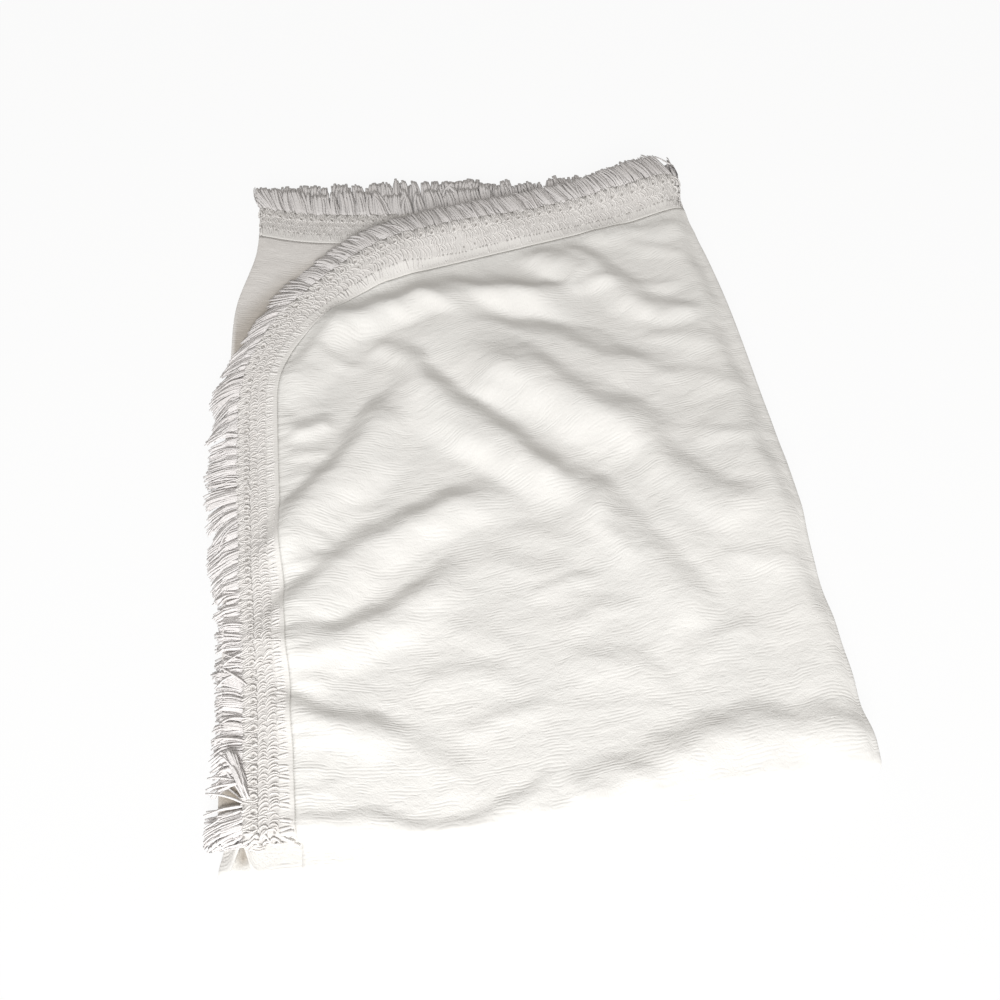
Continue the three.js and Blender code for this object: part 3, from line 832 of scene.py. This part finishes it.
def make_cross_threads(material, rng):
    """Outer half of the braid: a ring at each eyelet, and threads that part around both rows."""
    each_repeat = 6
    count = int(EDGE_LENGTH / REPEAT) * each_repeat
    number = np.arange(count)
    is_ring = number % each_repeat == 0
    uneven = rng.normal(0, 1, (count, 4))
    share = np.linspace(0, 1, 8)[None, :]
    piece, ring, up, side = row_of_strands("braid_threads", count, 8, 4)

    base = (number % each_repeat) / (each_repeat - 1) - 0.5 + number // each_repeat
    base = np.where(is_ring, number // each_repeat, base)[:, None] * REPEAT
    inner = CROSS_START + 0.0009 * uneven[:, :1]
    outer = HEADING + 0.0004 + 0.0010 * uneven[:, 3:]
    d = inner + (outer - inner) * share
    part = 0.42 * (1 + 0.25 * uneven[:, 1:2])
    t = base + gather(base, EYELETS, 0.0, d, 0.0040, part) + gather(
        base, ROOT_EYELETS, 0.42, d, 0.0042, 0.8 * part)
    t = t - 0.0022 * smooth(0.3, 1.0, share) + 0.0005 * uneven[:, 2:3] * np.sin(3 * math.pi * share)
    height = 0.0010 + 0.0005 * np.sin(1.7 * math.pi * share + 1.3 * uneven[:, 3:])
    height = height + (0.0006 - height) * smooth(0.86, 1.0, share)

    turn = math.pi * (1.15 * share - 0.075)
    ring_d = EYELETS - RING_OUT * np.cos(turn)
    ring_t = base + RING_ALONG * np.sin(turn) - 0.0006 + 0.0003 * uneven[:, 1:2]
    ring_height = 0.0010 + 0.0012 * np.sin(math.pi * share) ** 0.7 + 0.0003 * uneven[:, 2:3]
    rings = is_ring[:, None]
    d, t = np.where(rings, ring_d, d), np.where(rings, ring_t, t)
    height = np.where(rings, ring_height, height)
    radius = np.where(rings, 0.00096, 0.00104) * (1 + 0.09 * uneven[:, :1]) + 0 * share
    lay_strands(piece, ring, 0.85 * up, 1.1 * side, t, d, height * shown_face(base), radius)
    give_value(piece, "tone", np.repeat(rng.random(count), len(ring)))
    finish_piece(piece, material, "braid")
    return piece


# Fall of the strands along the top left side: cloth from the near fold, lean along the edge per
# length out, curl added towards the tips, share by which locks are drawn together, and length
LEANS = np.array([
    (-0.040, 0.00, 0.00, 0.30, 0.047),
    (-0.010, -0.30, -0.30, 0.25, 0.047),
    (0.010, -0.20, -0.20, 0.25, 0.047),
    (0.026, -0.10, -0.10, 0.25, 0.048),
    (0.033, 0.10, 0.00, 0.30, 0.048),
    (0.037, 2.60, -0.30, 0.85, 0.046),
    (0.056, 2.60, -0.30, 0.85, 0.046),
    (0.060, 0.30, -0.50, 0.30, 0.044),
    (0.080, 0.00, -0.50, 0.30, 0.042),
    (0.100, 0.20, -0.50, 0.15, 0.040),
    (0.120, 0.15, -0.40, 0.15, 0.040),
    (0.140, 0.35, -0.50, 0.15, 0.040),
    (0.160, 0.35, -0.20, 0.12, 0.040),
    (0.174, 0.90, -0.70, 0.15, 0.041),
    (0.186, 0.45, -0.40, 0.15, 0.040),
    (0.200, 0.15, -0.10, 0.12, 0.039),
    (0.222, -0.10, 0.00, 0.20, 0.037),
    (0.234, 0.10, 0.10, 0.30, 0.036),
    (0.260, 0.10, 0.10, 0.15, 0.035),
    (0.285, 0.00, 0.00, 0.12, 0.035),
    (0.305, -0.10, -0.10, 0.12, 0.036),
    (0.320, -0.20, -0.50, 0.12, 0.039),
    (0.340, -0.15, -0.40, 0.12, 0.042),
    (0.380, -0.15, -0.40, 0.12, 0.046),
    (0.400, -0.15, -0.30, 0.12, 0.046),
    (0.415, -0.15, -1.00, 0.20, 0.046),
    (0.430, -0.10, -0.70, 0.12, 0.047),
    (0.445, 0.00, -0.20, 0.10, 0.047),
    (0.480, 0.00, 0.00, 0.10, 0.047),
    (0.520, 0.10, 0.00, 0.12, 0.047),
    (0.550, 0.15, 0.00, 0.20, 0.046),
    (0.562, 0.15, 0.00, 0.20, 0.046),
    (0.575, 0.00, -0.20, 0.12, 0.046),
    (0.600, 0.00, -0.75, 0.12, 0.046),
    (0.640, -0.10, -0.50, 0.12, 0.045),
    (0.670, -0.30, -0.20, 0.30, 0.045),
    (0.705, -0.55, -0.10, 0.60, 0.046),
    (0.740, -0.75, -0.10, 0.70, 0.047),
    (0.765, -0.60, 0.00, 0.60, 0.048),
    (0.792, -0.25, 0.00, 0.40, 0.048),
    (0.830, -0.25, 0.00, 0.20, 0.049),
    (0.900, -0.33, 0.00, 0.14, 0.050),
])
LEAN, CURL, LOCK, LONG = 1, 2, 3, 4
PARTINGS = (0.226, 0.297, 0.556)     # places where two locks lie apart
BUNDLE = 0.0355, 0.0575              # strands of the one lock that lies along the braid


def from_near_fold(t):
    """Cloth between the near fold and places along the trim of the top left side."""
    return t + TRIM_START - ALONG[4]


def strand_fall(t):
    """Lean, curl, locking and length of the strands at places along the trimmed edge."""
    s, _ = beside_edge(t, np.zeros_like(t))
    y = np.clip(from_near_fold(t), LEANS[0, 0], LEANS[-1, 0])
    lean, curl, lock, long = (curve(LEANS, column, y) for column in (LEAN, CURL, LOCK, LONG))
    foot = smooth(0.19, 0.25, s)
    lean, curl, lock = lean + (-0.36 - lean) * foot, curl * (1 - foot), lock + (0.10 - lock) * foot
    long = long + 0.011 * smooth(0.49, 0.56, s)
    top = on_top(t) > 0
    second_lean = np.where((s > ACROSS[2]) & (s < ACROSS[3] + 0.01),
                           0.02 + 0.30 * smooth(ACROSS[3] - 0.070, ACROSS[3], s), 0.0)
    under_long = np.where(t < EDGE[2], 0.027, 0.051)
    return (np.where(top, lean, second_lean), np.where(top, curl, 0.0),
            np.where(top, lock, 0.55), np.where(top, long, under_long))


def strand_places(count, crowding):
    """Places along the edge, closer together by a factor where the trim lies on top."""
    line = np.linspace(0, EDGE_LENGTH, 6000)
    passed = np.cumsum(1 + (crowding - 1) * on_top(line))
    return np.interp(np.arange(count) + 0.5, passed / passed[-1] * count, line)


def strand_locks(start, rng):
    """Uneven locks: the centre of each strand's lock, its place in it, and the lock's own values."""
    edges = np.cumsum(rng.uniform(0.5, 1.8, int(EDGE_LENGTH / 0.012)) * LOCK_WIDTH)
    number = np.minimum(np.searchsorted(edges, start), len(edges) - 1)
    widths = np.diff(edges, prepend=0)
    centre = (edges - widths / 2)[number]
    beside = (start - centre) / widths[number] * 2
    return centre, beside, rng.normal(0, 1, (len(edges), 6))[number]


def strand_drift(start, share, d, side_run, bundled, uneven):
    """Strands sag where nothing holds them up, and flare out at the fold of the lower layers."""
    y = from_near_fold(start)
    drift = np.zeros((*d.shape, 3))
    sag = (SIDE_SAG * side_run + USUAL_SAG)[:, None] * share**2 * (1 + 0.35 * uneven[:, None])
    overhang = DRAWN_IN * d - (curve(SIDES, CUT, y) - curve(SIDES, LEFT, y))[:, None]
    resting = side_run[:, None] * smooth(0.004, 0.0, overhang)
    resting = np.where(bundled[:, None], 1.0, resting)
    drift[..., 2] = -sag * (1 - resting) - np.minimum(sag, 0.0004) * resting
    s, _ = beside_edge(start, np.zeros_like(start))
    flare = ((1 - on_top(start)) * smooth(ACROSS[3] - 0.030, ACROSS[3], s)
             * smooth(ACROSS[4] + 0.030, ACROSS[4], s))
    drift[..., 0] = -0.010 * flare[:, None] * smooth(0.0, 0.8, share)
    return drift


def make_fringe(name, material, rng, rise, loose):
    """One row of fringe strands, in uneven locks. The row below lies closer and more even."""
    count, rings, crowding = 3000, 8, 1.7
    own = rng.normal(0, 1, (count, 6))
    start = strand_places(count, crowding)
    pitch = np.gradient(start)
    start = start + 0.18 * own[:, 5] * pitch
    share = np.linspace(0, 1, rings)[None, :]
    piece, ring, up, side = row_of_strands(name, count, rings, 4)

    centre, beside, lock_own = strand_locks(start, rng)
    lean, curl, lock, long = strand_fall(start)
    s, _ = beside_edge(start, np.zeros_like(start))
    foot = smooth(0.10, 0.26, s)
    side_run = on_top(start) * (1 - foot)
    hidden = 1 - on_top(start)
    y = from_near_fold(start)
    lean = lean + (0.05 + 0.05 * side_run) * loose * lock_own[:, 0] + 0.03 * own[:, 0]
    curl = (curl * (1 + 0.25 * loose * lock_own[:, 3])
            + (0.05 + 0.10 * side_run) * loose * lock_own[:, 1])
    long = long * (1 + (0.03 + 0.02 * side_run + 0.05 * hidden) * lock_own[:, 2] + 0.03 * own[:, 1])
    long = long * (0.93 + 0.07 * loose)
    stray = rng.random(count) < 0.03 * loose
    bundled = (y > BUNDLE[0]) & (y < BUNDLE[1]) & (side_run > 0)
    centre = np.where(bundled, start - y + sum(BUNDLE) / 2, centre)
    beside = np.where(bundled, 0.0, beside)
    lock = np.clip(lock * np.maximum(loose, 0.9 * hidden) * (1 + 0.35 * lock_own[:, 4]), 0, 0.9)
    lock = np.where(bundled, 0.85, lock)
    for parting in PARTINGS:
        lean = lean + 0.30 * loose * np.sign(y - parting) * np.exp(
            -((y - parting) / 0.007) ** 2) * side_run

    out = (long + 0.0035)[:, None] * share
    bend = 1 / np.sqrt(1 + (lean[:, None] + curl[:, None] * share) ** 2)
    steps = np.concatenate([np.zeros((count, 1)), np.diff(out, axis=1) * bend[:, 1:]], axis=1)
    d = HEADING - ROOT + 0.0012 * own[:, 4:5] + np.cumsum(steps, axis=1)
    wave = 0.0011 * np.sin(2 * math.pi * (0.9 * share + lock_own[:, 5:])) * share
    t = (start[:, None] + lean[:, None] * out * bend + curl[:, None] * out * share * bend * 0.5
         + (centre - start)[:, None] * (lock[:, None] * share**1.4 + 0.12 * loose * np.exp(
             -((share - 0.22) / 0.12) ** 2)) + wave
         + np.where(stray, 1, 0.09)[:, None] * 0.010 * own[:, 2:3] * share**2)
    apart = gather(start, HEADING, 0.42, np.full_like(start, HEADING), 0.01,
                   0.16 * (1 + 0.5 * own[:, 4]))
    t = t - 0.0022 * (1 - share) ** 2 + apart[:, None] * (1 - share) ** 2
    swell = loose * (0.0011 - 0.0017 * beside**2)[:, None] * smooth(0, 0.25, share)
    swell = swell + np.where(bundled, BUNDLE_RISE, 0.0)[:, None] * smooth(0, 0.3, share)
    height = (rise + swell + 0.0002 * own[:, 3:4] * share
              + np.where(stray, STRAY_RISE, 0.0)[:, None] * np.sin(math.pi * share)
              - 0.0004 * smooth(0.12, 0.0, share))
    radius = ((0.60 - 0.08 * loose) * pitch[:, None] * (1 + 0.12 * own[:, 1:2])
              * (0.86 + 0.14 * smooth(0, 0.2, share)) * (1 - 0.30 * share**6))

    drift = strand_drift(start, share, d, side_run, bundled, lock_own[:, 1])
    height = height * shown_face(start)[:, None]
    lay_strands(piece, ring, 0.36 * up, 1.9 * side, t, d, height, radius, drift)
    # Painted light: hidden strands get a paler tone against the shade they lie in.
    tone = np.clip(0.5 - 0.4 * hidden + 0.22 * lock_own[:, 0] + 0.2 * own[:, 0], 0, 1)
    give_value(piece, "tone", np.repeat(tone, len(ring)))
    finish_piece(piece, material, "yarn", "fringe")
    return piece


# ---------------------------------------------------------------- build
rng = np.random.default_rng(11)
panel = make_panel(woven_cloth())
tape = make_tape(tape_cloth())
braid = yarn("braid_yarn", (0.86, 0.84, 0.82), (0.79, 0.765, 0.745))
loops = make_loops(braid, rng)
strip = make_strip(braid, rng)
threads = make_cross_threads(braid, rng)
strand = yarn("fringe_yarn", (0.90, 0.875, 0.87), (0.83, 0.80, 0.79))
fringe_upper = make_fringe("fringe_upper", strand, rng, 0.0004, 1.0)
fringe_lower = make_fringe("fringe_lower", strand, rng, -0.0003, 0.40)

# ---------------------------------------------------------------- stage, lights and camera
PLAIN_WHITE = 0.91          # share of the floor that the camera sees as plain white
CAMERA_PLACE = (-0.09542, -0.07243, 0.820)       # from the packet's own origin
CAMERA_AIM = (0.0623, 0.4669, -0.8821)

bpy.ops.mesh.primitive_plane_add(size=12, location=(0, 0, -0.0004))
floor = bpy.context.active_object
floor.name = "floor"
ground = Finish("pale_floor")
ground.shader.inputs["Base Color"].default_value = (0.94, 0.94, 0.94, 1)
ground.shader.inputs["Roughness"].default_value = 0.95
glow = ground.add("ShaderNodeEmission")
glow.inputs["Color"].default_value = (1, 1, 1, 1)
glow.inputs["Strength"].default_value = 1.0
rays = ground.add("ShaderNodeLightPath")
bright = ground.math("MULTIPLY", rays.outputs["Is Camera Ray"], PLAIN_WHITE)
blend = ground.add("ShaderNodeMixShader")
ground.link(bright, blend.inputs[0])
ground.link(ground.shader.outputs[0], blend.inputs[1])
ground.link(glow.outputs[0], blend.inputs[2])
ground.link(blend.outputs[0], ground.tree.nodes["Material Output"].inputs["Surface"])
floor.data.materials.append(ground.material)

world = bpy.data.worlds.new("studio")
bpy.context.scene.world = world
world.use_nodes = True
sky = world.node_tree.nodes["Background"]
sky.inputs["Color"].default_value = (1.0, 0.970, 0.930, 1)
sky.inputs["Strength"].default_value = 0.42
backdrop = world.node_tree.nodes.new("ShaderNodeBackground")
backdrop.inputs["Color"].default_value = (1, 1, 1, 1)
seen = world.node_tree.nodes.new("ShaderNodeLightPath")
either = world.node_tree.nodes.new("ShaderNodeMixShader")
surface = world.node_tree.nodes["World Output"].inputs["Surface"]
world.node_tree.links.new(seen.outputs["Is Camera Ray"], either.inputs[0])
world.node_tree.links.new(sky.outputs[0], either.inputs[1])
world.node_tree.links.new(backdrop.outputs[0], either.inputs[2])
world.node_tree.links.new(either.outputs[0], surface)


def soft_lamp(name, place, target, size, power):
    data = bpy.data.lights.new(name, "AREA")
    data.shape = "DISK"
    data.size = size
    data.energy = power
    lamp = bpy.data.objects.new(name, data)
    bpy.context.collection.objects.link(lamp)
    lamp.location = place
    lamp.rotation_euler = (Vector(target) - Vector(place)).to_track_quat("-Z", "Y").to_euler()


soft_lamp("window", (-0.35, -2.2, 1.35), (0.0, 0.0, 0.0), 1.3, 58)

camera_data = bpy.data.cameras.new("camera")
camera = bpy.data.objects.new("camera", camera_data)
bpy.context.collection.objects.link(camera)
camera_data.sensor_width = 36
camera_data.lens = 27
camera.location = Vector(CAMERA_PLACE) + Vector(ORIGIN)
camera.rotation_euler = Vector(CAMERA_AIM).to_track_quat("-Z", "Y").to_euler()
bpy.context.scene.camera = camera
bpy.context.scene.view_settings.view_transform = "Standard"
